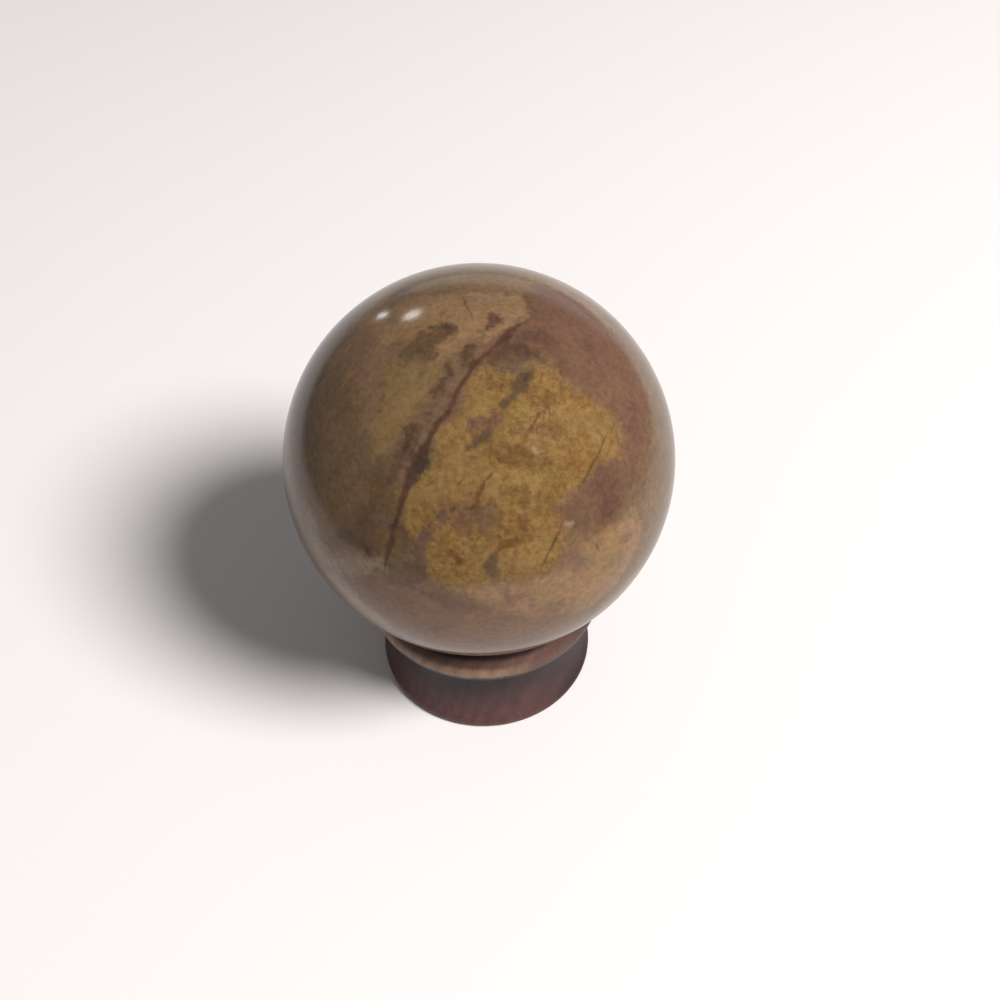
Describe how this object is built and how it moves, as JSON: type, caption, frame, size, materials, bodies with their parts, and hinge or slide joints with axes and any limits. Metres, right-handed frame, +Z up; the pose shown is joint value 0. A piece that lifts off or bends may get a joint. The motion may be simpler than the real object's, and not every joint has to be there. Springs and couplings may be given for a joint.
{
  "type": "decorative sphere",
  "caption": "Polished brown and ochre stone sphere resting in a small turned dark wooden ring stand, an ornament for a shelf, desk or table.",
  "frame": {"origin": "centre of the stand's underside, on the common axis of the sphere and the stand", "axes": "+Z up along the common axis; -Y is the front, where the stone's long vein and ochre patch show"},
  "size_m": [0.05, 0.05, 0.0658],
  "materials": {
    "stone": "polished",
    "wood": "lacquered"
  },
  "bodies": {
    "root": {"stone_sphere": "stone", "ring_stand": "wood"}
  },
  "joints": []
}
